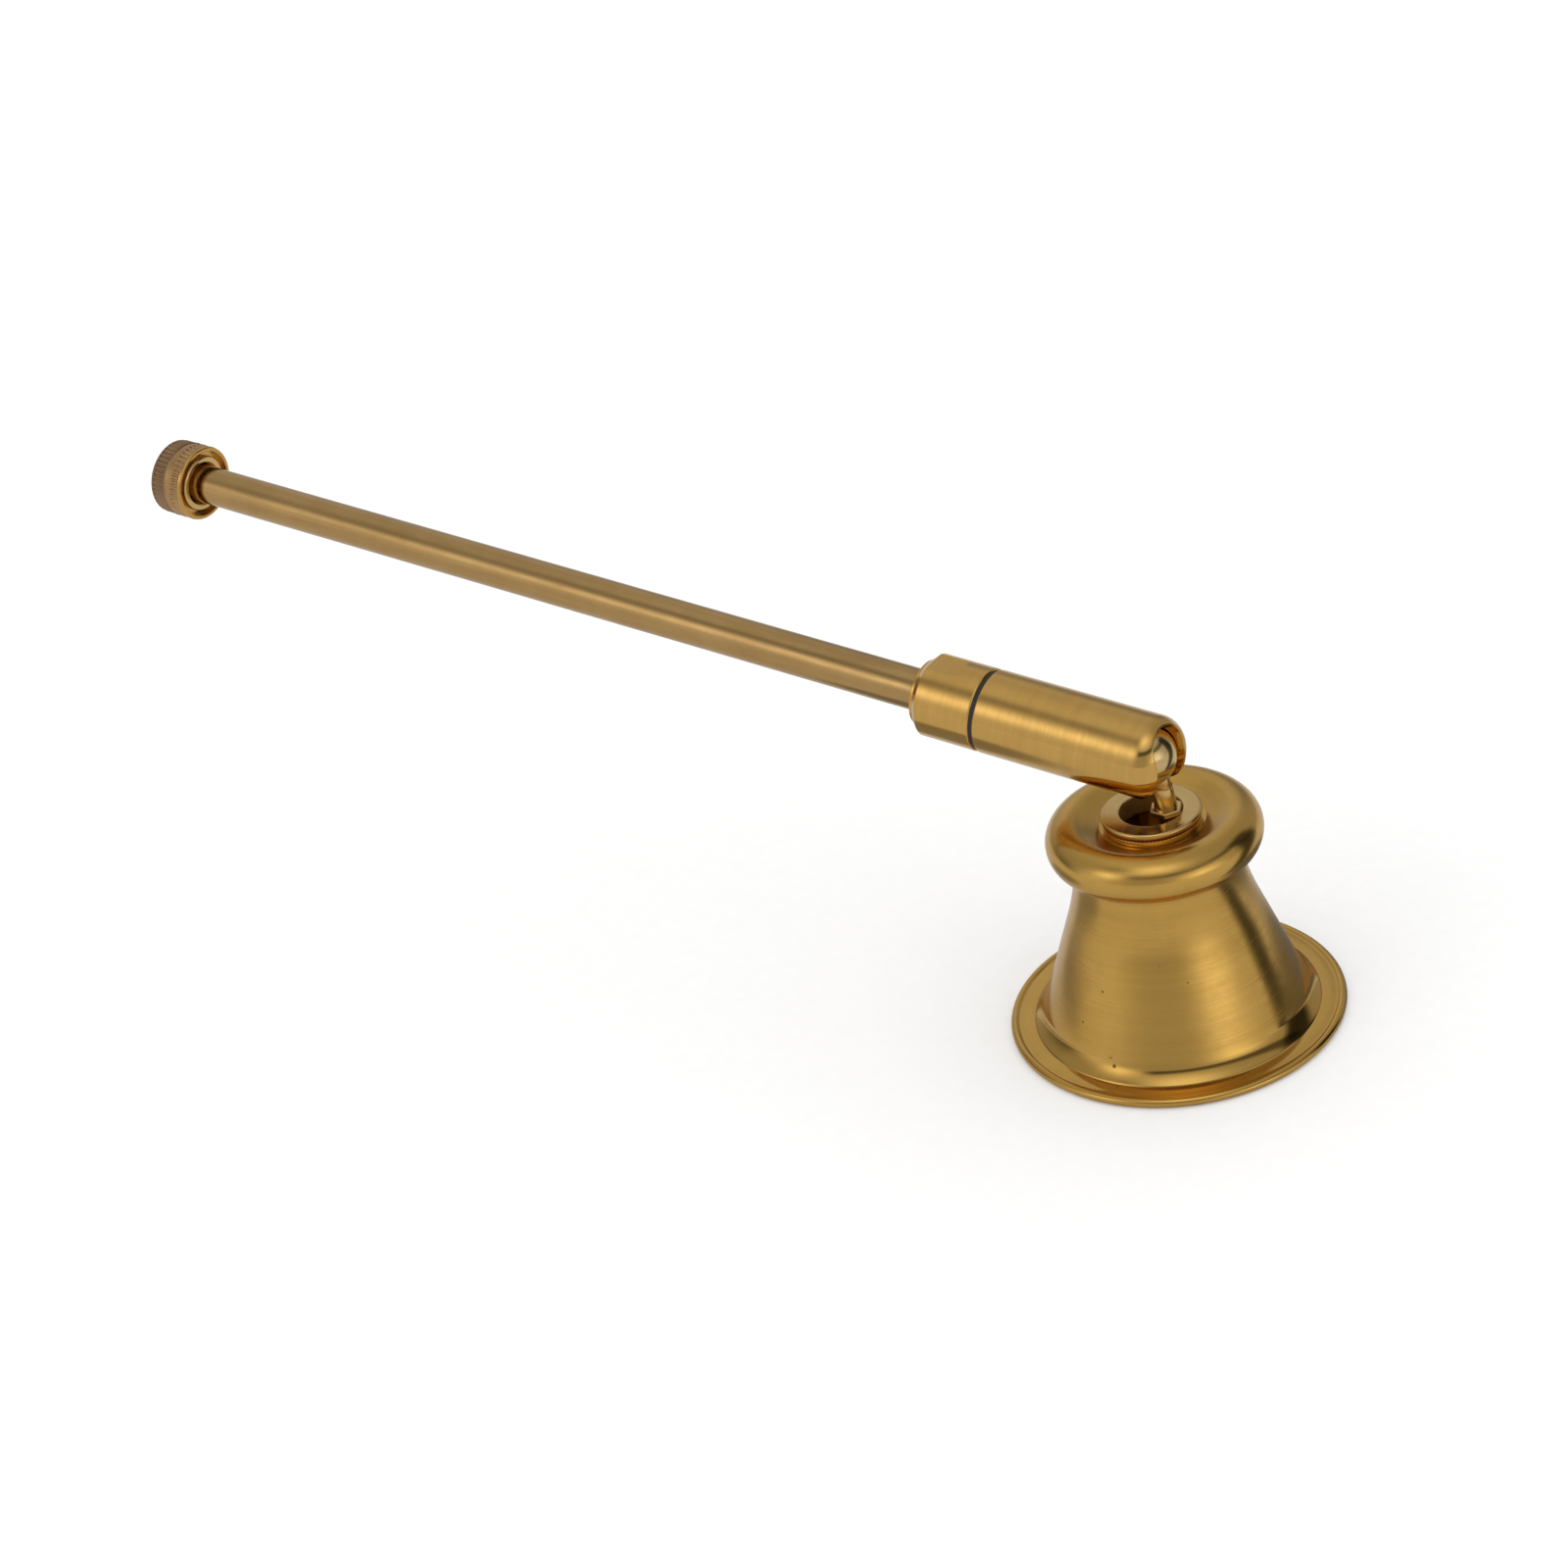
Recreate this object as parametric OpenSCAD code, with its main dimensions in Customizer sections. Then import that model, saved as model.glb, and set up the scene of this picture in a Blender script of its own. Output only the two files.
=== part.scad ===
// Swivel candle snuffer: a turned brass bell on a spring-loaded ball joint, with a long hollow
// handle and a knurled end knob. The rim stands on z = 0 and the handle points to -X.

/* [Bell] */
// Outer diameter of the rim
rim_d = 40; // [36:0.5:44]
// Height of the bell's flat crown seat above the rim
crown_z = 26.4; // [25.5:0.1:28]
// Thickness of the bell wall
wall = 1.6; // [1:0.1:2]
// Thickness of the crown plate
crown_t = 2.4; // [1.8:0.1:2.8]
// Thickness of the flat brim
brim_t = 0.7; // [0.5:0.05:0.9]
// Gap under the brim inside the rim lip
brim_lift = 0.25; // [0.1:0.05:0.35]
// Diameter of the rounded lip at the rim
lip_d = 1.1; // [0.9:0.05:1.3]
// Diameter of the step where the body meets the brim
foot_d = 34; // [33:0.25:35]
// Diameter of the cone where it would meet the brim
cone_base_d = 32.4; // [31:0.2:33]
// Diameter of the neck
neck_d = 20; // [19:0.25:21]
// Height where the cone runs into the neck
neck_z = 18.4; // [17:0.2:19.4]
// Radius of the hollow at the foot of the cone
foot_fillet = 3; // [2:0.1:4]
// Height of the middle of the crown bead
bead_z = 24.9; // [24.4:0.1:25.2]
// Radius of the crown bead
bead_r = 2.87; // [2.5:0.05:3]
// Outer diameter of the crown bead
bead_d = 25.34; // [24:0.1:26.5]
// Slope of the dished top between the bead and the crown seat
dish_slope = 24.8; // [20:0.2:30]
// Height of the fine ring turned under the bead
neck_ring_h = 0.5; // [0.3:0.1:0.8]
// Depth of the fine ring turned under the bead
neck_ring_t = 0.35; // [0.2:0.05:0.5]

/* [Crown bushing] */
// Diameter of the bushing flange
flange_d = 11.8; // [11.4:0.1:13]
// Thickness of the bushing flange
flange_t = 0.7; // [0.5:0.05:1]
// Outer diameter of the bushing tube
bush_d = 9.5; // [9:0.1:10]
// Bore of the bushing tube
bush_bore = 7.4; // [7.2:0.1:7.8]
// Length of the bushing tube under its flange
bush_len = 5.9; // [5.5:0.1:6.4]
// Diameter of the plain washer on the crown
seat_washer_d = 11.4; // [11:0.1:12]
// Thickness of the plain washer on the crown
seat_washer_t = 0.7; // [0.5:0.05:0.9]
// Diameter over the teeth of the lock washer
tooth_washer_d = 11.6; // [11:0.1:12]
// Thickness of the lock washer
tooth_washer_t = 0.3; // [0.2:0.05:0.4]
// Number of teeth on the lock washer
tooth_count = 36; // [24:2:48]
// Radial gap from the washer inside the bell to the bell's wall
inner_washer_gap = 0.6; // [0.4:0.05:0.8]
// Thickness of the washer inside the bell
inner_washer_t = 0.6; // [0.4:0.05:0.8]
// Gap from the corners of the cap nut to the bell's wall
cap_nut_gap = 0.3; // [0.2:0.05:0.4]
// Least wall of the cap nut at its flats
cap_wall = 0.75; // [0.6:0.05:0.9]
// Thickness of the cap nut's floor
cap_floor_t = 1; // [0.8:0.1:1.4]

/* [Stem] */
// Distance of the stem from the bell axis
stem_x = 2.05; // [1.7:0.05:2.2]
// Height above the rim where the handle axis crosses the stem axis
joint_z = 35.1; // [34.6:0.1:36]
// Diameter of the swivel ball
ball_d = 7.4; // [7.2:0.05:7.6]
// Distance of the ball centre behind the stem axis
ball_back = 1.85; // [1.6:0.05:2.1]
// Diameter of the thin neck under the ball
stem_neck_d = 1.6; // [1.4:0.05:1.8]
// Height of the handle axis above the stem shoulder
stem_neck_len = 3.4; // [3:0.05:3.8]
// Diameter of the stem at its shoulder
shank_top_d = 2; // [1.8:0.05:2.2]
// Diameter of the stem above its hexagon
shank_base_d = 2.6; // [2.4:0.05:2.8]
// Width across the corners of the stem's hexagon
stem_hex_d = 3.8; // [3.4:0.05:4.2]
// Thickness of the stem's hexagon
stem_hex_t = 0.7; // [0.5:0.05:0.9]
// Height of the hexagon's underside over the flange
stem_hex_rise = 0.05; // [0:0.05:0.3]
// Diameter of the threaded tail of the stem
tail_d = 2; // [1.6:0.1:2.4]
// Thickness of the captive foot disc
foot_disc_t = 1; // [0.7:0.05:1.2]
// Width across the flats of the nut on the tail
tail_nut_af = 4; // [3.6:0.1:4.6]
// Thickness of the nut on the tail
tail_nut_t = 1.4; // [1:0.1:1.8]

/* [Handle] */
// Angle of the handle above level at rest
handle_rise = 7.7; // [0:0.1:20]
// Diameter of the barrel and the sleeve
barrel_d = 10.05; // [9.6:0.05:10.4]
// Length from the stem axis to the seam
seam_s = 22.1; // [20:0.1:26]
// Radius of the barrel's rounded front edge
dome_round = 3.2; // [2.8:0.05:3.6]
// Reach of the barrel in front of the stem axis
dome_reach = 2.1; // [1.9:0.05:2.3]
// Width of the swing slot
slot_w = 5.9; // [5.6:0.05:6.2]
// Distance of the slot's middle to the right of the handle axis
slot_shift = 0.4; // [0:0.05:0.6]
// Angle of the slot's round upper end above the handle axis
slot_up = 28; // [24:1:34]
// Angle that the slot reaches below the handle axis
slot_down = 118; // [116:1:122]
// Diameter of the sleeve's screwed nose
nose_d = 8; // [7.6:0.05:8.2]
// Length of the sleeve's screwed nose
nose_len = 8; // [6:0.1:9]
// Width of the dark ring in the seam
seam_w = 0.5; // [0.3:0.05:0.7]
// Depth of the dark ring below the surface
seam_sink = 0.2; // [0.1:0.05:0.3]
// Bevel at both edges of the seam
seam_bevel = 0.2; // [0.1:0.05:0.35]
// Length of the sleeve behind the seam
sleeve_len = 8.55; // [7.5:0.05:10]
// Length of the wrench flats
flat_len = 5.3; // [4.5:0.1:6]
// Depth of each wrench flat
flat_depth = 0.33; // [0.25:0.01:0.45]
// Depth of the bevel behind the sleeve's full diameter
sleeve_bevel = 0.85; // [0.6:0.05:1.1]
// Length of the thin lip at the sleeve's rear
sleeve_lip_len = 0.45; // [0.3:0.05:0.6]
// Drop from the end of the bevel to the lip
sleeve_lip_step = 0.2; // [0.1:0.02:0.3]
// Diameter of the handle tube
rod_d = 5.08; // [4.9:0.02:5.3]
// Wall of the handle tube
rod_wall = 0.5; // [0.4:0.05:0.6]
// Depth of the handle tube in the sleeve
rod_seat = 5.8; // [4.5:0.1:6.5]
// Length of the stud that joins the sleeve and the tube
stud_len = 20; // [16:0.5:24]

/* [Follower and spring] */
// Place of the follower's cup face behind the ball centre, as a share of the ball's radius
follower_reach = 0.82; // [0.75:0.01:0.88]
// Length of the follower's body
follower_len = 2.2; // [1.8:0.1:2.6]
// Length of the follower's spigot
spigot_len = 1.5; // [1:0.1:2]
// Diameter of the follower's spigot
spigot_d = 4.2; // [3.8:0.05:4.4]
// Wire of the follower's spring
spring_wire = 0.7; // [0.6:0.02:0.76]
// Mean diameter of the follower's spring
spring_d = 5.4; // [5.3:0.02:5.5]
// Number of turns in the spring
spring_turns = 5; // [4:1:6]

/* [End knob] */
// Length from the stem axis to the knob's front rim
knob_s = 143.7; // [120:0.1:160]
// Diameter of the knob
knob_d = 10.06; // [9.5:0.02:10.6]
// Length of the knob
knob_len = 5.5; // [5.2:0.05:6]
// Width of each plain edge of the knob
knob_edge = 0.42; // [0.3:0.02:0.5]
// Width of the plain band between the two knurls
knob_band = 0.8; // [0.5:0.05:1]
// Depth of the plain band
knob_band_sink = 0.4; // [0.3:0.05:0.5]
// Number of ridges round the knob
knurl_count = 44; // [36:2:52]
// Depth of the knurl
knurl_depth = 0.25; // [0.15:0.01:0.3]
// Drop from the knob's plain edges to the tips of the knurl
knurl_sink = 0.04; // [0.02:0.01:0.08]
// Diameter of the recess in the knob's front
recess_d = 9; // [8.6:0.05:9.2]
// Depth of the recess in the knob's front
recess_depth = 1; // [0.8:0.05:1.2]
// Outer diameter of the polished collar
collar_d = 8; // [7.6:0.05:8.4]
// Bore of the polished collar
collar_bore = 6.4; // [6:0.05:6.8]
// Height of the polished collar
collar_h = 0.9; // [0.7:0.05:1.2]
// Depth of the handle tube in the knob
rod_tail_seat = 3.4; // [2.5:0.1:3.6]
// Length of the stud that holds the knob
knob_stud_len = 15; // [10:0.5:20]

/* [Fits] */
// Radial gap of a screwed or pushed joint
fit_gap = 0.05; // [0.03:0.01:0.08]
// Radial gap of the ball in its socket
ball_gap = 0.05; // [0.03:0.01:0.08]
// Gap of a loose, captive piece
loose_gap = 0.2; // [0.15:0.05:0.3]

/* [Hidden] */

$fn = 96;
// A cut reaches this far past the face that it opens
cut = 0.1;

rim_r = rim_d / 2;
lip_r = lip_d / 2;
brim_top = brim_lift + brim_t;
neck_r = neck_d / 2;
cone_base_r = cone_base_d / 2;
cone_slope = atan((cone_base_r - neck_r) / (neck_z - brim_top));
wall_across = wall / cos(cone_slope);
inner_neck_r = neck_r - wall;
inner_washer_r = inner_neck_r - inner_washer_gap;
cap_nut_r = inner_neck_r - cap_nut_gap;
cap_nut_flat = cap_nut_r * cos(30);
inner_base_r = cone_base_r - wall_across;
fillet_reach = foot_fillet * tan(45 - cone_slope / 2);
bead_c = bead_d / 2 - bead_r;
dish_r = bead_c - bead_r * sin(dish_slope);
dish_z = bead_z + bead_r * cos(dish_slope);
seat_edge_r = dish_r - (dish_z - crown_z) / tan(dish_slope);
crown_under = crown_z - crown_t;

tooth_z = crown_z + seat_washer_t;
flange_z = tooth_z + tooth_washer_t;
flange_top = flange_z + flange_t;
bush_end = flange_z - bush_len;
washer_z = crown_under - inner_washer_t;
foot_z = bush_end - loose_gap - foot_disc_t;
tail_nut_z = foot_z - tail_nut_t;
cap_inside_z = tail_nut_z - loose_gap;
cap_bottom = cap_inside_z - cap_floor_t;
chamber_r = cap_nut_flat - cap_wall;
foot_disc_r = chamber_r - stem_x - fit_gap;

ball_r = ball_d / 2;
socket_r = ball_r + ball_gap;
shoulder_z = joint_z - stem_neck_len;
hex_z = flange_top + stem_hex_rise;
hex_top = hex_z + stem_hex_t;
stem_spigot_top = joint_z + stem_neck_d / 2;

barrel_r = barrel_d / 2;
barrel_end = seam_s - seam_w / 2;
sleeve_start = seam_s + seam_w / 2;
sleeve_end = sleeve_start + sleeve_len;
bevel_end = sleeve_end - sleeve_lip_len;
lip_ring_r = barrel_r - sleeve_bevel - sleeve_lip_step;
nose_front = barrel_end - nose_len;
follower_s = ball_back + follower_reach * ball_r;
follower_end = follower_s + follower_len;
rod_r = rod_d / 2;
rod_bore_r = rod_r - rod_wall;
rod_start = sleeve_end - rod_seat;
rod_end = knob_s + recess_depth + rod_tail_seat;
stud_r = rod_bore_r - fit_gap;
stud_start = rod_start - stud_len / 2;
knob_end = knob_s + knob_len;
knurl_w = (knob_len - 2 * knob_edge - knob_band) / 2;
knob_r = knob_d / 2;
knurl_r = knob_r - knurl_sink;

spring_start = follower_end + spring_wire / 2 + fit_gap;
spring_len = nose_front - follower_end - spring_wire - 2 * fit_gap;
spring_pitch = spring_len / spring_turns;
curl_rings = 8;
wire_sides = 6;
spring_rings = curl_rings * spring_turns;

// Places children on the handle axis: +Z runs from the stem axis to the knob, +X is up
module on_handle() {
    translate([stem_x, 0, joint_z])
        rotate([0, handle_rise - 90, 0])
            children();
}

// Places children on the stem axis, with the rim plane kept at z = 0
module on_stem() {
    translate([stem_x, 0, 0])
        children();
}

module ring(outer_r, inner_r, z, h) {
    translate([0, 0, z])
        difference() {
            cylinder(h = h, r = outer_r);
            translate([0, 0, -cut])
                cylinder(h = h + 2 * cut, r = inner_r);
        }
}

// A disc with pointed teeth round its edge
module toothed_disc(tip_r, root_r, count, h) {
    linear_extrude(height = h)
        polygon([for (i = [0 : 2 * count - 1])
            let (r = i % 2 == 0 ? tip_r : root_r, a = i * 180 / count)
            [r * cos(a), r * sin(a)]]);
}

module bell_outside() {
    polygon([
        [0, brim_lift], [cone_base_r, brim_lift], [cone_base_r, brim_top],
        [neck_r, neck_z], [neck_r, bead_z], [0, bead_z]
    ]);
    translate([bead_c, bead_z])
        circle(r = bead_r);
    polygon([
        [0, bead_z], [bead_c, bead_z], [dish_r, dish_z], [seat_edge_r, crown_z], [0, crown_z]
    ]);
    translate([0, bead_z - bead_r - neck_ring_h])
        square([neck_r + neck_ring_t, neck_ring_h]);
    bell_foot();
    translate([0, brim_lift])
        square([rim_r - lip_r, brim_t]);
    translate([rim_r - lip_r, lip_r])
        circle(r = lip_r);
    translate([rim_r - lip_d, 0])
        square([lip_r, lip_r]);
}

// The hollow curve at the foot of the cone, cut off by a small step
module bell_foot() {
    intersection() {
        difference() {
            polygon([
                [0, brim_top],
                [cone_base_r + fillet_reach, brim_top],
                [cone_base_r - fillet_reach * sin(cone_slope), brim_top + fillet_reach * cos(cone_slope)],
                [0, brim_top + fillet_reach * cos(cone_slope)]
            ]);
            translate([cone_base_r + fillet_reach, brim_top + foot_fillet])
                circle(r = foot_fillet);
        }
        square([foot_d / 2, neck_z]);
    }
}

module bell_inside() {
    polygon([
        [0, -cut], [inner_base_r, -cut], [inner_base_r, brim_top],
        [inner_neck_r, neck_z], [inner_neck_r, crown_under], [0, crown_under]
    ]);
}

module bell() {
    color([0.62, 0.49, 0.26])
        difference() {
            rotate_extrude()
                difference() {
                    bell_outside();
                    bell_inside();
                }
            translate([0, 0, crown_under - cut])
                cylinder(h = crown_t + 2 * cut, r = bush_d / 2 + fit_gap);
        }
}

module crown_bushing() {
    color([0.64, 0.5, 0.28]) {
        difference() {
            union() {
                translate([0, 0, bush_end])
                    cylinder(h = bush_len + flange_t / 2, r = bush_d / 2);
                translate([0, 0, flange_z])
                    rotate_extrude() {
                        square([flange_d / 2 - flange_t / 2, flange_t]);
                        translate([flange_d / 2 - flange_t / 2, flange_t / 2])
                            circle(r = flange_t / 2);
                    }
            }
            translate([0, 0, bush_end - cut])
                cylinder(h = bush_len + flange_t + 2 * cut, r = bush_bore / 2);
        }
    }
}

module tooth_washer() {
    color([0.38, 0.16, 0.1])
        difference() {
            translate([0, 0, tooth_z])
                toothed_disc(tooth_washer_d / 2, tooth_washer_d / 2 - tooth_washer_t, tooth_count, tooth_washer_t);
            translate([0, 0, tooth_z - cut])
                cylinder(h = tooth_washer_t + 2 * cut, r = bush_d / 2 + fit_gap);
        }
}

module seat_washer() {
    color([0.6, 0.46, 0.25])
        ring(seat_washer_d / 2, bush_d / 2 + fit_gap, crown_z, seat_washer_t);
}

module inner_washer() {
    color([0.66, 0.53, 0.3])
        ring(inner_washer_r, bush_d / 2 + fit_gap, washer_z, inner_washer_t);
}

// The nut that clamps the bushing and closes the chamber round the stem's foot
module cap_nut() {
    color([0.68, 0.55, 0.32])
        difference() {
            translate([0, 0, cap_bottom])
                intersection() {
                    cylinder(h = washer_z - cap_bottom, r = cap_nut_r, $fn = 6);
                    cylinder(h = washer_z - cap_bottom, r1 = cap_nut_flat, r2 = cap_nut_flat + washer_z - cap_bottom);
                }
            translate([0, 0, cap_inside_z])
                cylinder(h = bush_end - cap_inside_z, r = chamber_r);
            translate([0, 0, bush_end - cut])
                cylinder(h = washer_z - bush_end + 2 * cut, r = bush_d / 2 + fit_gap);
        }
}

module stem() {
    color([0.66, 0.5, 0.24])
        on_stem() {
            translate([0, 0, tail_nut_z])
                cylinder(h = hex_z - tail_nut_z + cut, r = tail_d / 2);
            translate([0, 0, hex_z])
                cylinder(h = stem_hex_t, r = stem_hex_d / 2, $fn = 6);
            translate([0, 0, hex_top - cut])
                cylinder(h = shoulder_z - hex_top + cut, d1 = shank_base_d, d2 = shank_top_d);
            translate([0, 0, shoulder_z - cut])
                cylinder(h = stem_spigot_top - shoulder_z + cut, r = stem_neck_d / 2);
        }
}

module foot_disc() {
    color([0.5, 0.42, 0.3])
        on_stem()
            ring(foot_disc_r, tail_d / 2 + fit_gap, foot_z, foot_disc_t);
}

module tail_nut() {
    color([0.68, 0.55, 0.32])
        on_stem()
            difference() {
                translate([0, 0, tail_nut_z])
                    cylinder(h = tail_nut_t, r = tail_nut_af / sqrt(3), $fn = 6);
                translate([0, 0, tail_nut_z - cut])
                    cylinder(h = tail_nut_t + 2 * cut, r = tail_d / 2 + fit_gap);
            }
}

module swivel_ball() {
    color([0.72, 0.6, 0.36])
        difference() {
            on_handle()
                translate([0, 0, ball_back])
                    sphere(r = ball_r);
            on_stem()
                translate([0, 0, shoulder_z])
                    cylinder(h = stem_spigot_top - shoulder_z + fit_gap, r = stem_neck_d / 2 + fit_gap);
        }
}

// The path that the stem sweeps through the barrel's end, with a round upper end
module swing_slot() {
    translate([0, -slot_shift, ball_back]) {
        rotate([90, 0, 0])
            rotate([0, 0, -90 - slot_down])
                rotate_extrude(angle = slot_up + slot_down)
                    translate([0, -slot_w / 2])
                        square([barrel_d, slot_w]);
        rotate([0, 180 - slot_up, 0])
            cylinder(h = barrel_d, r = slot_w / 2);
    }
}

// Half the outline of the barrel's rounded front
module dome_profile() {
    intersection() {
        union() {
            square([barrel_r - dome_round, dome_round]);
            translate([barrel_r - dome_round, dome_round])
                circle(r = dome_round);
        }
        square([barrel_r, dome_round]);
    }
}

module barrel() {
    color([0.7, 0.56, 0.31])
        on_handle()
            difference() {
                union() {
                    translate([0, 0, -dome_reach])
                        rotate_extrude()
                            dome_profile();
                    translate([0, 0, dome_round - dome_reach])
                        cylinder(h = barrel_end - seam_bevel - dome_round + dome_reach, r = barrel_r);
                    translate([0, 0, barrel_end - seam_bevel])
                        cylinder(h = seam_bevel, r1 = barrel_r, r2 = barrel_r - seam_bevel);
                }
                translate([0, 0, ball_back])
                    sphere(r = socket_r);
                translate([0, 0, ball_back])
                    cylinder(h = barrel_end - ball_back + cut, r = socket_r);
                translate([0, 0, nose_front - loose_gap])
                    cylinder(h = nose_len + loose_gap + cut, r = nose_d / 2 + fit_gap);
                swing_slot();
            }
}

module ball_follower() {
    color([0.6, 0.57, 0.5])
        on_handle()
            difference() {
                union() {
                    translate([0, 0, follower_s])
                        cylinder(h = follower_len, r = socket_r - fit_gap);
                    translate([0, 0, follower_end - cut])
                        cylinder(h = spigot_len + cut, r = spigot_d / 2);
                }
                translate([0, 0, ball_back])
                    sphere(r = socket_r);
            }
}

// One ring of the spring's wire, centred on the helix
function wire_ring(i) =
    let (a = i * 360 / curl_rings, z = spring_start + spring_pitch * i / curl_rings)
    [for (k = [0 : wire_sides - 1])
        let (b = k * 360 / wire_sides, r = spring_d / 2 + spring_wire / 2 * cos(b))
        [r * cos(a), r * sin(a), z + spring_wire / 2 * sin(b)]];

// The middle of the wire at each ring
function wire_centre(i) =
    let (a = i * 360 / curl_rings)
    [spring_d / 2 * cos(a), spring_d / 2 * sin(a), spring_pitch * i / curl_rings];

// The least gap from the wire to the wire of a turn next to it
spring_gap = min([for (i = [0 : spring_rings - curl_rings / 2], j = [i + curl_rings / 2 : spring_rings])
    norm(wire_centre(i) - wire_centre(j)) - spring_wire]);
echo(least_spring_gap = spring_gap);

module follower_spring() {
    points = [for (i = [0 : spring_rings]) each wire_ring(i)];
    sides = [for (i = [0 : spring_rings - 1], k = [0 : wire_sides - 1])
        let (j = (k + 1) % wire_sides, p = i * wire_sides, q = p + wire_sides)
        each [[p + k, q + k, p + j], [p + j, q + k, q + j]]];
    last = spring_rings * wire_sides;
    ends = [for (k = [1 : wire_sides - 2])
        each [[0, k, k + 1], [last, last + k + 1, last + k]]];
    color([0.62, 0.62, 0.6])
        on_handle()
            polyhedron(points = points, faces = concat(sides, ends));
}

module seam_ring() {
    color([0.05, 0.05, 0.05])
        on_handle()
            ring(barrel_r - seam_sink, nose_d / 2 + fit_gap, barrel_end, seam_w);
}

module sleeve() {
    color([0.7, 0.56, 0.31])
        on_handle()
            difference() {
                union() {
                    translate([0, 0, nose_front])
                        cylinder(h = nose_len + seam_w + cut, r = nose_d / 2);
                    translate([0, 0, sleeve_start])
                        cylinder(h = seam_bevel, r1 = barrel_r - seam_bevel, r2 = barrel_r);
                    translate([0, 0, sleeve_start + seam_bevel])
                        cylinder(h = bevel_end - sleeve_bevel - sleeve_start - seam_bevel, r = barrel_r);
                    translate([0, 0, bevel_end - sleeve_bevel])
                        cylinder(h = sleeve_bevel, r1 = barrel_r, r2 = barrel_r - sleeve_bevel);
                    translate([0, 0, bevel_end - cut])
                        cylinder(h = sleeve_lip_len + cut, r = lip_ring_r);
                }
                translate([0, 0, nose_front - cut])
                    cylinder(h = sleeve_end - nose_front, r = stud_r + fit_gap);
                translate([0, 0, rod_start - fit_gap])
                    cylinder(h = rod_seat + fit_gap + cut, r = rod_r + fit_gap);
                for (side = [0, 180])
                    rotate([0, 0, side])
                        translate([barrel_r - flat_depth, -barrel_r, sleeve_end - flat_len])
                            cube([barrel_r, barrel_d, flat_len + cut]);
            }
}

module rod_stud() {
    color([0.55, 0.5, 0.42])
        on_handle()
            translate([0, 0, stud_start])
                cylinder(h = stud_len, r = stud_r);
}

module handle_rod() {
    color([0.67, 0.57, 0.42])
        on_handle()
            ring(rod_r, rod_bore_r, rod_start, rod_end - rod_start);
}

module knob_stud() {
    color([0.55, 0.5, 0.42])
        on_handle()
            translate([0, 0, rod_end - knob_stud_len])
                cylinder(h = knob_stud_len, r = stud_r);
}

module knob_collar() {
    color([0.72, 0.58, 0.33])
        on_handle()
            ring(collar_d / 2, collar_bore / 2, knob_s + recess_depth - collar_h, collar_h);
}

module end_knob() {
    color([0.53, 0.4, 0.27])
        on_handle()
            difference() {
                union() {
                    for (s = [knob_s + knob_edge, knob_end - knob_edge - knurl_w])
                        translate([0, 0, s])
                            toothed_disc(knurl_r, knurl_r - knurl_depth, knurl_count, knurl_w);
                    translate([0, 0, knob_s])
                        cylinder(h = knob_edge, r = knob_r);
                    translate([0, 0, knob_s])
                        cylinder(h = knob_len, r = knob_r - knob_band_sink);
                    translate([0, 0, knob_end - knob_edge])
                        cylinder(h = knob_edge, r1 = knob_r, r2 = knob_r - knob_edge);
                }
                translate([0, 0, knob_s - cut])
                    cylinder(h = recess_depth + cut, r = recess_d / 2);
                translate([0, 0, knob_s])
                    cylinder(h = rod_end - knob_s + fit_gap, r = rod_r + fit_gap);
            }
}

bell();
crown_bushing();
tooth_washer();
seat_washer();
inner_washer();
cap_nut();
stem();
foot_disc();
tail_nut();
swivel_ball();
barrel();
ball_follower();
follower_spring();
seam_ring();
sleeve();
rod_stud();
handle_rod();
knob_stud();
knob_collar();
end_knob();
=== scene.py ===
import math

import bmesh
import bpy
import numpy as np
from mathutils import Matrix, Vector


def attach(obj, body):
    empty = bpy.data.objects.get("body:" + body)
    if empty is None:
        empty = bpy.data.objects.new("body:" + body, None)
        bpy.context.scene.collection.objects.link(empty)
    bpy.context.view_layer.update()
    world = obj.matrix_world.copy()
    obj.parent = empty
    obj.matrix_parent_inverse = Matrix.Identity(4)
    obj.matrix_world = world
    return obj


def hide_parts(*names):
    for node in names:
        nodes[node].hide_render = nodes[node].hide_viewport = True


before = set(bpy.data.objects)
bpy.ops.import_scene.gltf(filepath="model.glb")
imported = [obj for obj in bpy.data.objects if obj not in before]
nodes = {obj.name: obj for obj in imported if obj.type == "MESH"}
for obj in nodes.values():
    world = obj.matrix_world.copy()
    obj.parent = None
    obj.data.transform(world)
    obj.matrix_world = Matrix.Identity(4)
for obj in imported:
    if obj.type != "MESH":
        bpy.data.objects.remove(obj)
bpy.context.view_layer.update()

# Lengths are in millimetres, as in the part's source, and meshes are scaled to metres.
MM = 0.001

# Bell: rim and its groove, cone and neck, the ring under the bead, the step at the cone's foot, the bead and the crown.
RIM_R, LIP_R, LIP_GROOVE_R, BRIM_LIFT, BRIM_TOP = 20.0, 0.55, 18.8, 0.25, 0.95
CONE_BASE_R, NECK_R, NECK_Z, WALL = 16.2, 10.0, 18.4, 1.6
BLEND_HIGH, BLEND_LOW = 21.2, 14.2
RING_R, RING_HIGH, RING_LOW, RING_GROOVE_R = 10.34, 21.96, 21.62, 10.04
FOOT_R, FOOT_FILLET, STEP_R, STEP_DROP = 17.0, 3.0, 15.9, 0.16
BEAD_C, BEAD_Z, BEAD_R, DISH_SLOPE = 9.8, 24.9, 2.87, math.radians(24.8)
CROWN_Z, CROWN_UNDER, HOLE_R = 26.4, 24.0, 4.8

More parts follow.
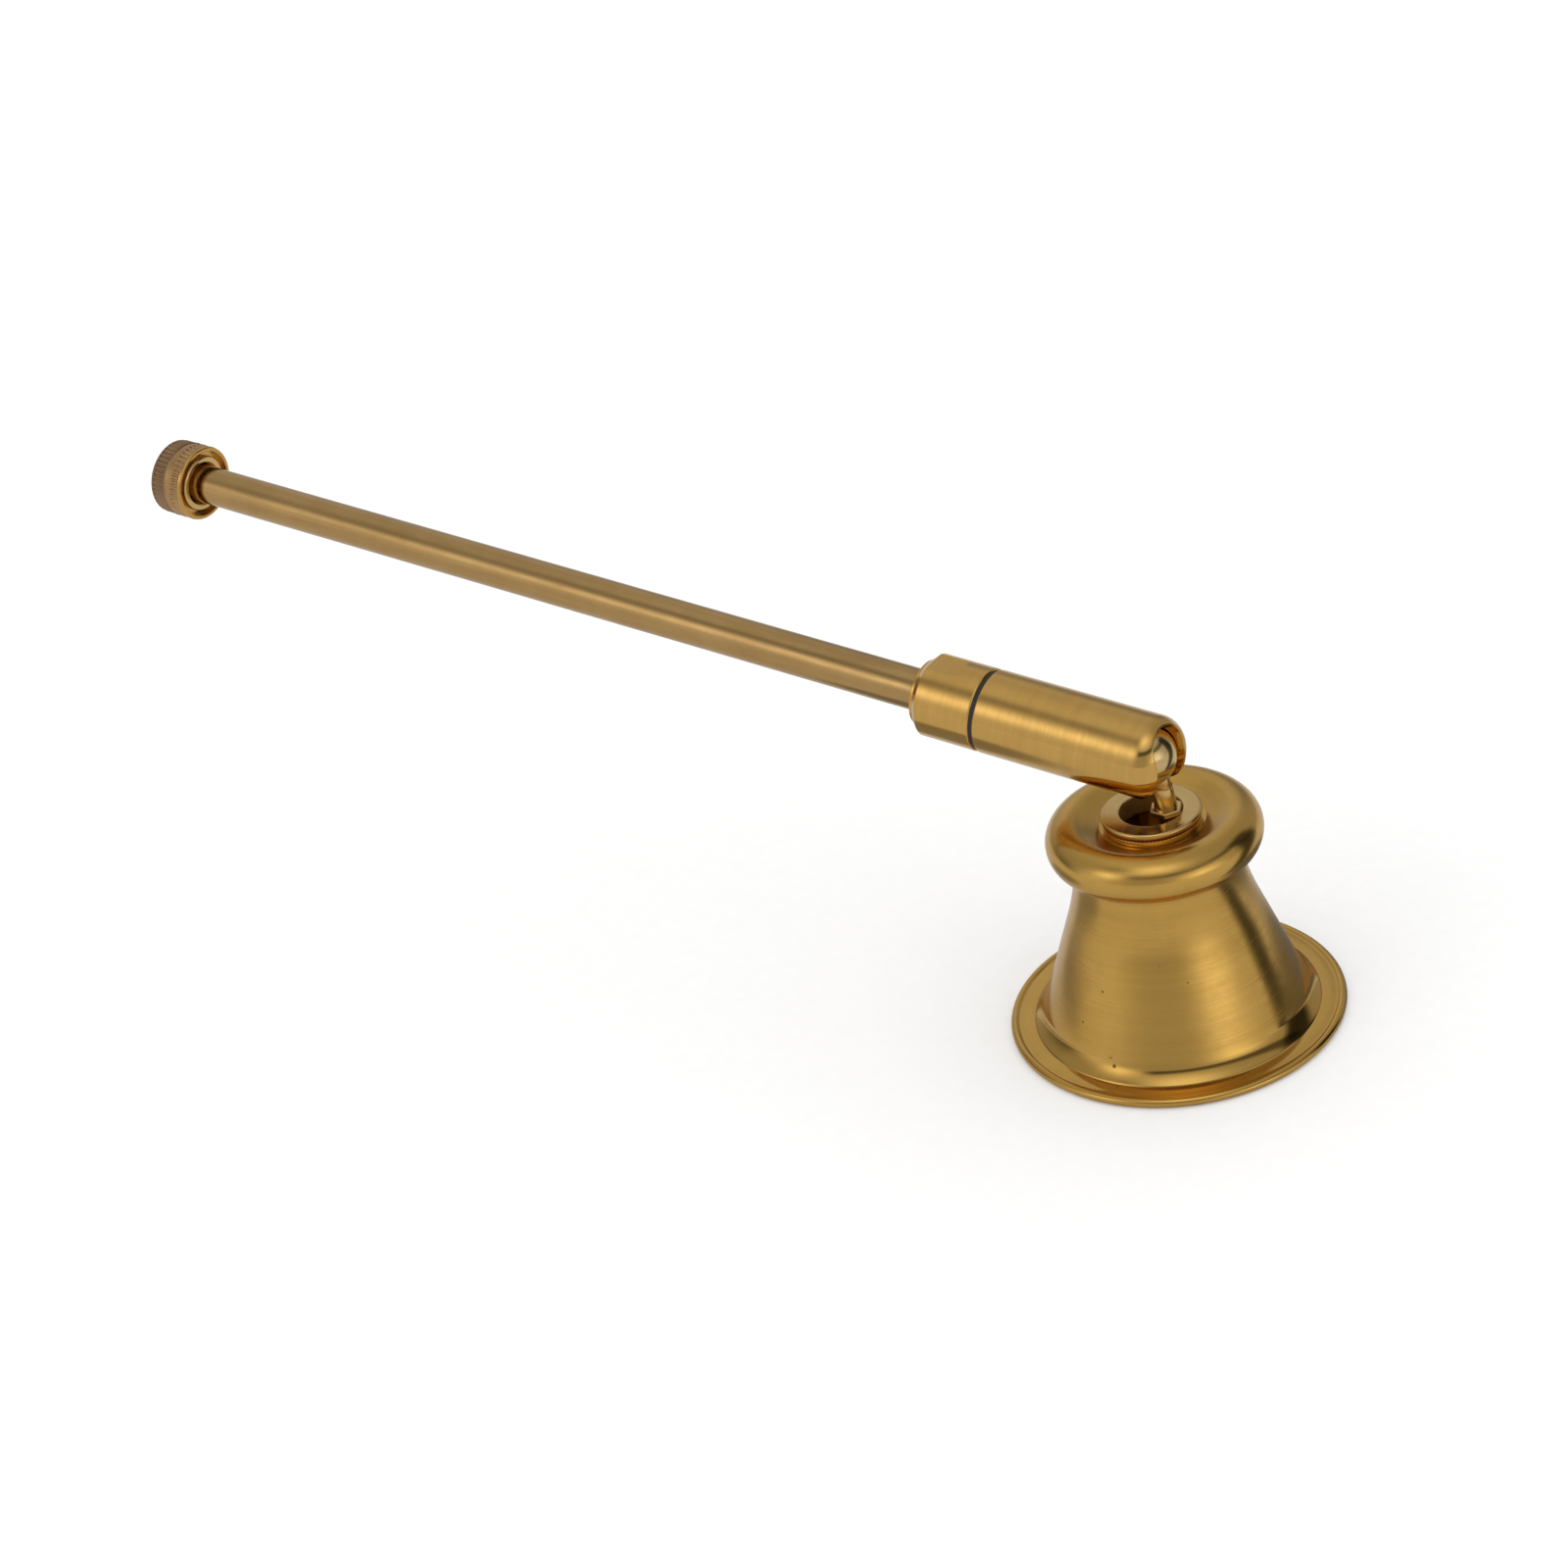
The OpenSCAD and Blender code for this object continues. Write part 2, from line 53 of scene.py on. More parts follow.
# What is stacked on the crown: plain washer, toothed washer and bushing.
SEAT_TOP, SEAT_R = 27.1, 5.7
TEETH_TOP, TEETH_R, TEETH, TEETH_DEPTH = 27.4, 5.78, 76, 0.17
FLANGE_TOP, FLANGE_R = 28.1, 5.9
BUSH_R, BUSH_BORE, BUSH_FOOT, BORE_SEEN = 4.75, 3.7, 21.5, 25.7

# Stem, its hexagon and the ball.
STEM_X, STEM_FOOT, STEM_TOP, TAIL_R, STEM_NECK_R = 2.05, 18.9, 35.9, 1.0, 0.92
SHANK_LOW, SHANK_WIDE, SHANK_HIGH, SHANK_R, SHANK_TIP_R, SHANK_RING_R = 28.3, 29.0, 31.5, 1.36, 1.08, 1.1
HEX_R, HEX_LOW, HEX_HIGH, HEX_TURN = 1.95, 28.15, 28.85, math.radians(-8)
JOINT_Z, BALL_R, BALL_BACK = 35.1, 3.7, 1.85

# Handle, with heights along it from the joint: barrel, its slot, and its rear tube.
RISE = math.radians(7.7)
BARREL_R, DOME_ROUND, DOME_REACH, SOCKET_R = 5.025, 3.2, 2.1, 3.75
SLOT_HALF, SLOT_SHIFT, SLOT_UP, SLOT_DOWN = 2.95, 0.4, math.radians(28), math.radians(118)
SLOT_EDGE, SOCKET_EDGE = 0.28, 0.12
NET_LOW, NET_HIGH, NET_END, CELL, QUICK_CELL = (-5.4, -5.4, -2.4), (5.4, 5.4, 7.9), 7.6, 0.1, 0.16
TUBE_START, TUBE_PROUD = 7.0, 0.002
BARREL_END, THREAD_R, THREAD_START = 21.85, 4.05, 13.65

# Sleeve with its nose, flats, cone and boss, then the rod.
SLEEVE_START, SLEEVE_END, NOSE_R, NOSE_START = 22.35, 30.9, 4.0, 13.85
FLAT_X, FLAT_START, CONE_START, BOSS_R, BOSS_START = 4.695, 25.6, 29.6, 3.975, 30.46
ROD_R, ROD_BORE, ROD_START, ROD_END = 2.54, 2.04, 25.1, 148.1
ROD_SEAT_R, ROD_SEAT_START = 2.59, 25.05

# Knob and the spring.
KNOB_S, KNOB_R, KNOB_MOUTH_R, KNOB_FLOOR, KNOB_REAR = 143.7, 5.03, 4.45, 144.7, 149.2
KNOB_BACK, BAND_R, REAR_ROUND, RIDGES = 148.15, 4.9, 0.9, 44
FRONT_START, FRONT_END, REAR_START, REAR_END = 144.15, 145.5, 146.65, 148.7
COLLAR_BORE, COLLAR_FUNNEL_R, COLLAR_R, COLLAR_FACE = 2.62, 3.0, 3.78, 143.78
SPRING_START, SPRING_END, SPRING_TURNS, SPRING_R, WIRE_R = 7.484, 13.45, 5, 2.7, 0.35

UPRIGHT = Matrix.Identity(4)
ON_STEM = Matrix.Translation((STEM_X * MM, 0, 0))
ON_HANDLE = Matrix.Translation((STEM_X * MM, 0, JOINT_Z * MM)) @ Matrix.Rotation(RISE - math.pi / 2, 4, "Y")


# ---------- outlines ----------

def arc(cx, cy, r, start, end, count):
    """Points on a circle, from one angle to another in degrees."""
    return [(cx + r * math.cos(a), cy + r * math.sin(a)) for a in np.radians(np.linspace(start, end, count))]


def rounded(corners):
    """An outline through (x, y, radius) corners, each turned into an arc with a short straight lead at both ends.

    A radius that doesn't fit its two sides is made smaller."""
    out = []
    count = len(corners)
    for i, (x, y, radius) in enumerate(corners):
        p = np.array([x, y], float)
        if radius <= 0:
            out.append((x, y))
            continue
        before = np.array(corners[i - 1][:2], float) - p
        after = np.array(corners[(i + 1) % count][:2], float) - p
        la, lb = np.linalg.norm(before), np.linalg.norm(after)
        before, after = before / la, after / lb
        opening = math.acos(max(-1.0, min(1.0, float(before @ after))))
        if opening > math.pi - 0.02:
            out.append((x, y))
            continue
        t = min(radius / math.tan(opening / 2), 0.46 * la, 0.46 * lb)
        r = t * math.tan(opening / 2)
        centre = p + (before + after) / np.linalg.norm(before + after) * r / math.sin(opening / 2)
        first, last = p + before * t - centre, p + after * t - centre
        a0 = math.atan2(first[1], first[0])
        turn = (math.atan2(last[1], last[0]) - a0 + math.pi) % (2 * math.pi) - math.pi
        steps = max(3, math.ceil(abs(turn) / 0.26))
        out.append(tuple(p + before * (t + min(0.05, 0.03 * la))))
        out += [tuple(centre + r * np.array([math.cos(a0 + turn * k / steps), math.sin(a0 + turn * k / steps)]))
                for k in range(steps + 1)]
        out.append(tuple(p + after * (t + min(0.05, 0.03 * lb))))
    return out


# ---------- meshes ----------

def make(name, points, faces, place, sharp=28):
    """An object from points in millimetres in the frame given by place."""
    mesh = bpy.data.meshes.new(name)
    mesh.from_pydata((np.asarray(points, float) * MM).tolist(), [], faces)
    bm = bmesh.new()
    bm.from_mesh(mesh)
    bmesh.ops.recalc_face_normals(bm, faces=bm.faces)
    bm.to_mesh(mesh)
    bm.free()
    mesh.shade_smooth()
    if sharp:
        mesh.set_sharp_from_angle(angle=math.radians(sharp))
    obj = bpy.data.objects.new(name, mesh)
    bpy.context.scene.collection.objects.link(obj)
    obj.matrix_world = place
    return obj


def lathe(name, outline, place, turns=256, shape=None, sharp=28):
    """A closed outline of (radius, height) turned about local Z. shape(radius, height, angles) may bend the radii."""
    angles = np.arange(turns) * 2 * math.pi / turns
    points, rows = [], []
    for r, z in outline:
        if r < 1e-6:
            rows.append([len(points)])
            points.append((0.0, 0.0, z))
            continue
        rows.append(list(range(len(points), len(points) + turns)))
        radii = np.full(turns, r) if shape is None else shape(r, z, angles)
        points += list(zip(radii * np.cos(angles), radii * np.sin(angles), np.full(turns, z)))
    faces = []
    for i, a in enumerate(rows):
        b = rows[(i + 1) % len(rows)]
        if len(a) == 1 and len(b) == 1:
            continue
        for k in range(turns):
            j = (k + 1) % turns
            if len(a) == 1:
                faces.append((a[0], b[j], b[k]))
            elif len(b) == 1:
                faces.append((a[k], a[j], b[0]))
            else:
                faces.append((a[k], a[j], b[j], b[k]))
    return make(name, points, faces, place, sharp)


def net(name, field, low, high, cell, place):
    """The zero surface of field, meshed on a grid and then moved onto the surface."""
    low, high = np.array(low, float), np.array(high, float)
    size = np.ceil((high - low) / cell).astype(int) + 1
    grid = np.stack(np.meshgrid(*[low[i] + cell * np.arange(size[i]) for i in range(3)], indexing="ij"), -1)
    f = field(grid)
    inside = f < 0
    corners = [np.array([i, j, k]) for i in (0, 1) for j in (0, 1) for k in (0, 1)]
    filled = sum(inside[c[0]:size[0] - 1 + c[0], c[1]:size[1] - 1 + c[1], c[2]:size[2] - 1 + c[2]].astype(int)
                 for c in corners)
    active = (filled > 0) & (filled < 8)
    cells = np.argwhere(active)
    number = -np.ones(active.shape, int)
    number[active] = np.arange(len(cells))
    total, weight = np.zeros((len(cells), 3)), np.zeros(len(cells))
    for a in corners:
        for axis in range(3):
            if a[axis]:
                continue
            b = a.copy()
            b[axis] = 1
            fa, fb = f[tuple((cells + a).T)], f[tuple((cells + b).T)]
            crossing = (fa < 0) != (fb < 0)
            share = np.where(crossing, fa / np.where(crossing, fa - fb, 1), 0)
            total += crossing[:, None] * (a + share[:, None] * (b - a))
            weight += crossing
    points = low + (cells + total / weight[:, None]) * cell
    step = 0.004
    for _ in range(5):
        value = field(points)
        slope = np.stack([(field(points + step * e) - field(points - step * e)) / (2 * step) for e in np.eye(3)], -1)
        move = slope * (value / np.maximum((slope ** 2).sum(-1), 0.2))[:, None]
        points -= np.clip(move, -cell / 2, cell / 2)
    faces = []
    for axis in range(3):
        u, v = (axis + 1) % 3, (axis + 2) % 3
        one = np.eye(3, dtype=int)
        first = inside[tuple(slice(0, s - 1) if i == axis else slice(1, s - 1) for i, s in enumerate(size))]
        second = inside[tuple(slice(1, s) if i == axis else slice(1, s - 1) for i, s in enumerate(size))]
        where = np.argwhere(first != second)
        base = where + one[u] + one[v]
        quad = [number[tuple((base - d).T)] for d in (one[u] + one[v], one[v], 0 * one[u], one[u])]
        faces += np.stack(quad, -1).tolist()
    return make(name, points, faces, place, sharp=None)


# ---------- materials ----------

def toward(azimuth, elevation):
    """A direction: azimuth 0 is -Y and 90 is +X, in degrees."""
    a, e = math.radians(azimuth), math.radians(elevation)
    return Vector((math.sin(a) * math.cos(e), -math.cos(a) * math.cos(e), math.sin(e)))


class Graph:
    """Short names for making the nodes of a material or a world."""

    def __init__(self, owner):
        owner.use_nodes = True
        self.owner = owner
        self.tree = owner.node_tree
        self.tree.nodes.clear()

    def node(self, kind, inputs=None, **settings):
        """A node with its inputs, by name or number, set to values or linked to sockets."""
        made = self.tree.nodes.new("ShaderNode" + kind)
        for key, value in settings.items():
            setattr(made, key, value)
        for key, value in (inputs or {}).items():
            if isinstance(value, bpy.types.NodeSocket):
                self.tree.links.new(value, made.inputs[key])
            else:
                made.inputs[key].default_value = value
        return made

    def output(self, shader, kind="OutputMaterial"):
        """Links the finished shader and gives back the material or world."""
        self.tree.links.new(shader.outputs[0], self.node(kind).inputs[0])
        return self.owner

    def math(self, operation, a, b=0.0):
        return self.node("Math", {0: a, 1: b}, operation=operation).outputs[0]

    def plus(self, a, b):
        return self.math("ADD", a, b)

    def times(self, a, *others):
        for b in others:
            a = self.math("MULTIPLY", a, b)
        return a

    def rest(self, a):
        """What is left of 1."""
        return self.math("SUBTRACT", 1.0, a)

    def xyz(self, x, y, z=0.0):
        return self.node("CombineXYZ", {0: x, 1: y, 2: z}).outputs[0]

    def place(self):
        """The point in the object's own frame, in metres."""
        return self.node("TexCoord").outputs["Object"]

    def millimetres(self):
        return self.vector("MULTIPLY", self.place(), (1 / MM, 1 / MM, 1 / MM))

    def vector(self, operation, a, b=(0, 0, 0)):
        made = self.node("VectorMath", {0: a, 1: b}, operation=operation)
        return made.outputs["Value"] if operation in ("LENGTH", "DISTANCE", "DOT_PRODUCT") else made.outputs[0]

    def toward(self, direction, azimuth, elevation):
        """How far a direction faces the one given in degrees: 1 is straight at it."""
        return self.vector("DOT_PRODUCT", direction, tuple(toward(azimuth, elevation)))

    def span(self, value, low, high, to_low=0.0, to_high=1.0, smooth=False):
        """Runs from to_low to to_high while value goes from low to high."""
        kind = "SMOOTHSTEP" if smooth else "LINEAR"
        return self.node("MapRange", {"Value": value, "From Min": low, "From Max": high, "To Min": to_low,
                                      "To Max": to_high}, interpolation_type=kind).outputs[0]

    def mix(self, share, a, b):
        made = self.node("Mix", {"Factor": share}, data_type="RGBA")
        for key, value in ((6, a), (7, b)):
            if isinstance(value, bpy.types.NodeSocket):
                self.tree.links.new(value, made.inputs[key])
            else:
                made.inputs[key].default_value = (*value, 1.0)
        return made.outputs[2]

    def noise(self, vector, scale, detail=2.0, rough=0.5):
        inputs = {"Vector": vector, "Scale": scale, "Detail": detail, "Roughness": rough}
        return self.node("TexNoise", inputs).outputs["Fac"]


def metal(name, base, deep, rough, kind="turned", anisotropy=0.5, line=1.0, pits=(), polish=None):
    """Worked metal: kind is turned (fine rings about local Z), drawn (fine lines along it) or plain.

    line is the depth of its marks, pits are (place, size) in millimetres, and polish is (from z, to z, roughness,
    depth of its pitting) of a smoother end."""
    g = Graph(bpy.data.materials.new(name))
    mm = g.millimetres()
    x, y, z = g.node("SeparateXYZ", {0: mm}).outputs
    flat = g.xyz(x, y)
    # Noise is drawn out along the tool's marks: fine gives single lines and coarse gives bands of tone.
    if kind == "turned":
        r_z = g.xyz(g.times(g.vector("LENGTH", flat), 5.0), g.times(z, 5.0))
        around = g.vector("MULTIPLY_ADD", g.vector("NORMALIZE", flat), (0.9, 0.9, 0.0))
        fine = g.noise(g.vector("ADD", r_z, around), 1.0, 3.0, rough=0.7)
        coarse = g.noise(r_z, 0.16)
    elif kind == "drawn":
        drawn = g.xyz(g.times(x, 9.0), g.times(y, 9.0), g.times(z, 0.22))
        fine = g.noise(drawn, 1.0, 3.0, rough=0.65)
        coarse = g.noise(g.vector("MULTIPLY", drawn, (0.12, 0.12, 0.35)), 1.0)
    else:
        fine = g.noise(mm, 6.0, 3.0, rough=0.6)
        coarse = g.noise(mm, 0.8)
    blotch = g.noise(mm, 0.22, 4.0, rough=0.6)
    worn = g.span(g.plus(g.times(blotch, 0.55), g.times(coarse, 0.45)), 0.38, 0.66, 0.0, 0.5)
    colour = g.mix(g.span(fine, 0.35, 0.7, 0.0, 0.28), g.mix(worn, base, deep), deep)
    roughness = g.plus(g.span(fine, 0.3, 0.7, rough - 0.05, rough + 0.07), g.span(blotch, 0.35, 0.65, -0.03, 0.04))
    height = g.times(fine, line)
    if polish is not None:
        start, end, smooth_rough, pitting = polish
        smooth = g.span(z, start, end, smooth=True)
        grain = g.span(g.noise(mm, 2.2, 3.0, rough=0.65), 0.52, 0.66, 0.0, -pitting, smooth=True)
        roughness = g.plus(g.times(roughness, g.rest(smooth)), g.times(smooth, smooth_rough))
        height = g.plus(g.times(height, g.rest(smooth)), g.times(smooth, grain))
    for at, size in pits:
        hole = g.span(g.vector("DISTANCE", mm, at), size * 0.45, size, 1.0, 0.0, smooth=True)
        colour = g.mix(g.times(hole, 0.8), colour, (0.05, 0.03, 0.015))
        height = g.math("SUBTRACT", height, g.times(hole, 40.0))
    bump = g.node("Bump", {"Strength": 1.0, "Distance": 1e-6, "Height": height})
    inputs = {"Base Color": colour, "Metallic": 1.0, "Roughness": roughness, "Normal": bump.outputs[0]}
    if kind != "plain":
        across = g.vector("CROSS_PRODUCT", (0, 0, 1), flat)
        inputs["Tangent"] = g.node("VectorTransform", {0: across}, vector_type="VECTOR", convert_from="OBJECT",
                                   convert_to="WORLD").outputs[0]
        inputs["Anisotropic"] = anisotropy
        inputs["Anisotropic Rotation"] = 0.25 if kind == "turned" else 0.0
    return g.output(g.node("BsdfPrincipled", inputs))


def dark(name, base, rough):
    """Dark moulded or fibre material with a fine grain."""
    g = Graph(bpy.data.materials.new(name))
    grain = g.noise(g.millimetres(), 5.0, 3.0)
    colour = g.mix(g.span(grain, 0.3, 0.7), base, tuple(c * 1.8 + 0.004 for c in base))
    bump = g.node("Bump", {"Strength": 1.0, "Distance": 4e-6, "Height": grain})
    return g.output(g.node("BsdfPrincipled", {"Base Color": colour, "Normal": bump.outputs[0],
                                              "Roughness": g.span(grain, 0.3, 0.7, rough - 0.08, rough + 0.1)}))


BELL_PITS = (((-2.0, -12.67, 10.41), 0.17), ((-4.73, -13.57, 6.09), 0.17), ((0.07, -15.74, 2.41), 0.26),
             ((7.68, -9.66, 11.81), 0.13), ((4.76, -10.52, 14.04), 0.11), ((-0.7, -15.3, 3.2), 0.13),
             ((-0.4, -15.38, 3.24), 0.12))
bell_brass = metal("bell_satin", (0.66, 0.40, 0.10), (0.50, 0.285, 0.062), 0.19, anisotropy=0.55, line=1.3,
                   pits=BELL_PITS, polish=(4.2, 2.6, 0.10, 0.0))
crown_brass = metal("crown_satin", (0.68, 0.41, 0.11), (0.50, 0.29, 0.075), 0.12, anisotropy=0.4)
barrel_brass = metal("barrel_satin", (0.70, 0.425, 0.12), (0.54, 0.315, 0.085), 0.12, anisotropy=0.6, line=1.2,
                     polish=(0.8, -0.4, 0.10, 3.5))
rod_brass = metal("rod_drawn", (0.52, 0.33, 0.13), (0.36, 0.215, 0.075), 0.15, "drawn", 0.6, 2.5)
knob_brass = metal("knob_matte", (0.54, 0.335, 0.155), (0.34, 0.20, 0.09), 0.36, anisotropy=0.2, line=1.2)
knob_dark = metal("knob_darkened", (0.38, 0.24, 0.13), (0.20, 0.12, 0.065), 0.42, anisotropy=0.2, line=1.2)
rim_brass = metal("rim_turned", (0.66, 0.38, 0.11), (0.50, 0.26, 0.07), 0.16, anisotropy=0.3, line=0.8)
bright_brass = metal("bright_turned", (0.72, 0.50, 0.20), (0.52, 0.33, 0.12), 0.17, anisotropy=0.3, line=0.6)
ball_brass = metal("ball_polished", (0.74, 0.54, 0.25), (0.52, 0.35, 0.14), 0.13, anisotropy=0.0, line=0.5)
inner_brass = metal("inner_plain", (0.58, 0.38, 0.15), (0.40, 0.24, 0.08), 0.36, "plain", line=1.5)
red_brass = metal("toned_red", (0.30, 0.07, 0.035), (0.12, 0.03, 0.015), 0.4, "plain", line=1.5)
# A lighter copy of the brass for the bushing's bore: painted light on the inside of the hole, which lies in shade.
lit_bore_brass = metal("bore_painted_lit", (0.86, 0.52, 0.15), (0.70, 0.38, 0.10), 0.42, anisotropy=0.3)
steel = metal("spring_wire", (0.50, 0.49, 0.47), (0.30, 0.29, 0.28), 0.28, "plain", line=1.5)
black = dark("dark_fibre_ring", (0.008, 0.008, 0.008), 0.45)


def fit(obj, body, material, slot, *replaced):
    """Gives a piece its material and body, and hides the nodes that it stands for; slot is not used."""
    obj.data.materials.clear()
    obj.data.materials.append(material)
    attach(obj, body)
    if replaced:
        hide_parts(*replaced)


# ---------- bell ----------

cone_slope = math.atan((CONE_BASE_R - NECK_R) / (NECK_Z - BRIM_TOP))
fillet_x = CONE_BASE_R + FOOT_FILLET * math.tan(math.pi / 4 - cone_slope / 2)
fillet_z = BRIM_TOP + FOOT_FILLET
inner_base = CONE_BASE_R - WALL / math.cos(cone_slope)
dish_r = BEAD_C - BEAD_R * math.sin(DISH_SLOPE)
dish_z = BEAD_Z + BEAD_R * math.cos(DISH_SLOPE)
seat_edge = dish_r - (dish_z - CROWN_Z) / math.tan(DISH_SLOPE)
bell_outline = [(HOLE_R, CROWN_Z)]
bell_outline += rounded([(seat_edge - 1, CROWN_Z, 0), (seat_edge, CROWN_Z, 0.5), (dish_r, dish_z, 0)])[:-1]
bell_outline += arc(BEAD_C, BEAD_Z, BEAD_R, 90 + math.degrees(DISH_SLOPE), -80.5, 72)
bell_outline += rounded([
    (RING_GROOVE_R, RING_HIGH + 0.08, 0), (RING_GROOVE_R, RING_HIGH + 0.02, 0.02), (RING_R, RING_HIGH, 0.08),
    (RING_R, RING_LOW, 0.08), (RING_GROOVE_R, RING_LOW - 0.06, 0.02), (NECK_R, RING_LOW - 0.22, 0),
])
# A soft curve from the neck into the cone.
blend_r = NECK_R + (NECK_Z - BLEND_LOW) * math.tan(cone_slope)
bell_outline += [((1 - t * t) * NECK_R + t * t * blend_r,
                  (1 - t) ** 2 * BLEND_HIGH + 2 * t * (1 - t) * NECK_Z + t * t * BLEND_LOW)
                 for t in np.linspace(0, 1, 28)]
foot_end = math.degrees(math.atan2(-math.sqrt(FOOT_FILLET ** 2 - (fillet_x - FOOT_R) ** 2), FOOT_R - fillet_x))
bell_outline += [(r, z - STEP_DROP * max(0.0, r - STEP_R) ** 2) for r, z in
                 arc(fillet_x, fillet_z, FOOT_FILLET, 180 + math.degrees(cone_slope), 360 + foot_end, 28)]
bell_outline += [(FOOT_R + 0.02, BRIM_TOP + 0.07), (FOOT_R + 0.07, BRIM_TOP), (FOOT_R + 0.5, BRIM_TOP),
                 (LIP_GROOVE_R - 0.25, BRIM_TOP - 0.01), (LIP_GROOVE_R, BRIM_TOP - 0.07),
                 (LIP_GROOVE_R + 0.2, BRIM_TOP - 0.05)]
bell_outline += arc(RIM_R - LIP_R, LIP_R, LIP_R, 130, -90, 36)
bell_outline += rounded([
    (RIM_R - 2 * LIP_R, 0, 0.12), (RIM_R - 2 * LIP_R, BRIM_LIFT, 0.08), (inner_base, BRIM_LIFT, 0.15),
    (inner_base, BRIM_TOP, 0.3), (NECK_R - WALL, NECK_Z, 3), (NECK_R - WALL, CROWN_UNDER, 0.8),
    (HOLE_R, CROWN_UNDER, 0.05), (HOLE_R, CROWN_Z, 0),
])[:-1]
bell = lathe("bell_shell", bell_outline, UPRIGHT, 384)
fit(bell, "bell_assembly", bell_brass, "bell_brass", "bell")

seat = lathe("seat_washer_turned", rounded([
    (HOLE_R, CROWN_Z, 0.08), (SEAT_R, CROWN_Z, 0.14), (SEAT_R, SEAT_TOP, 0.14), (HOLE_R, SEAT_TOP, 0.08),
]), UPRIGHT, 192)
fit(seat, "bell_assembly", crown_brass, "polished_brass", "seat_washer")
bushing = lathe("crown_bushing_turned", rounded([
    (BUSH_BORE, BORE_SEEN, 0), (BUSH_BORE, BUSH_FOOT, 0.12), (BUSH_R, BUSH_FOOT, 0.12), (BUSH_R, TEETH_TOP, 0.05),
    (FLANGE_R, TEETH_TOP, 0.3), (FLANGE_R, FLANGE_TOP, 0.33), (BUSH_BORE, FLANGE_TOP, 0.16),
]), UPRIGHT, 224)
fit(bushing, "bell_assembly", bright_brass, "bell_brass", "crown_bushing")
# The bore's inside, above the depth that can be seen, takes the lighter brass: painted light in the hole.
bushing.data.materials.append(lit_bore_brass)
for face in bushing.data.polygons:
    at = face.center / MM
    if math.hypot(at.x, at.y) < BUSH_BORE + 0.02 and at.z > BORE_SEEN + 0.1:
        face.material_index = 1


def serrated(r, z, angles):
    """Cuts the washer's outer edge into shallow teeth."""
    return r - (r > 5) * TEETH_DEPTH * (0.5 + 0.5 * np.cos(angles * TEETH))


washer = lathe("tooth_washer_serrated", rounded([
    (HOLE_R, SEAT_TOP, 0), (TEETH_R, SEAT_TOP, 0.05), (TEETH_R, TEETH_TOP, 0.05), (HOLE_R, TEETH_TOP, 0),
]), UPRIGHT, TEETH * 8, serrated, 60)
fit(washer, "bell_assembly", red_brass, "toned_brass", "tooth_washer")


# ---------- stem ----------

def hexagon(corner_r):
    """Bends a ring of that radius into a hexagon with slightly rounded corners."""
    def shape(r, z, angles):
        a = np.abs((angles + math.pi / 6) % (math.pi / 3) - math.pi / 6)
        flat_r = corner_r * math.cos(math.pi / 6) / np.cos(math.pi / 6 - a)
        return r * np.minimum(flat_r, corner_r * 0.985) / corner_r
    return shape


stem = lathe("stem_turned", rounded([
    (0, STEM_FOOT, 0), (TAIL_R, STEM_FOOT, 0.15), (TAIL_R, SHANK_LOW, 0), (SHANK_R - 0.06, SHANK_LOW, 0),
    (SHANK_R, SHANK_WIDE, 0), (SHANK_TIP_R, SHANK_HIGH, 0.1), (SHANK_RING_R, SHANK_HIGH + 0.12, 0.05),
    (SHANK_RING_R, SHANK_HIGH + 0.22, 0.05), (STEM_NECK_R, SHANK_HIGH + 0.24, 0.05), (STEM_NECK_R, STEM_TOP, 0),
    (0, STEM_TOP, 0),
]), ON_STEM, 96)
fit(stem, "stem_assembly", bright_brass, "polished_brass", "stem")
stem_hexagon = lathe("stem_hexagon", rounded([
    (0.95, HEX_LOW, 0), (HEX_R, HEX_LOW, 0.08), (HEX_R, HEX_HIGH, 0.12), (0.95, HEX_HIGH, 0),
]), ON_STEM @ Matrix.Rotation(HEX_TURN, 4, "Z"), 120, hexagon(HEX_R), 20)
fit(stem_hexagon, "stem_assembly", bright_brass, "polished_brass")
ball_x, ball_z = STEM_X - BALL_BACK * math.cos(RISE), JOINT_Z + BALL_BACK * math.sin(RISE)
ball_at = Matrix.Translation((ball_x * MM, 0, ball_z * MM))
ball = lathe("swivel_ball_turned", arc(0, 0, BALL_R, -90, 90, 96), ball_at, 160)
fit(ball, "stem_assembly", ball_brass, "polished_brass", "swivel_ball")


# ---------- barrel ----------

def blend_max(a, b, k):
    """The larger of two distances, with the edge between them rounded."""
    return np.maximum(a, b) + np.maximum(k - np.abs(a - b), 0) ** 2 / (4 * k)


def barrel_field(p):
    """Distance to the barrel's front, negative inside: a domed tube less its slot, ball socket and bore.

    Local Z runs back along the handle from the joint, and the slot lies in the plane of X and Z."""
    x, y, z = p[..., 0], p[..., 1], p[..., 2]
    rho = np.hypot(x, y)
    side, front = rho - BARREL_R + DOME_ROUND, -DOME_REACH + DOME_ROUND - z
    outer = np.hypot(np.maximum(side, 0), np.maximum(front, 0)) + np.minimum(np.maximum(side, front), 0) - DOME_ROUND
    side, back = y + SLOT_SHIFT, z - BALL_BACK
    across = x * math.cos(SLOT_UP) + back * math.sin(SLOT_UP)
    ahead = x * math.sin(SLOT_UP) - back * math.cos(SLOT_UP)
    below = x * math.cos(SLOT_DOWN + math.pi) + back * math.sin(SLOT_DOWN)
    flat = np.maximum(np.abs(side) - SLOT_HALF, np.maximum(across, below))
    slot = np.minimum(flat, np.maximum(np.hypot(across, side) - SLOT_HALF, -ahead))
    socket = np.sqrt(x * x + y * y + back * back) - SOCKET_R
    bore = np.maximum(rho - SOCKET_R, -back)
    solid = blend_max(outer, -slot, SLOT_EDGE)
    solid = blend_max(solid, -socket, SOCKET_EDGE)
    solid = blend_max(solid, -bore, SOCKET_EDGE)
    return np.maximum(solid, z - NET_END)


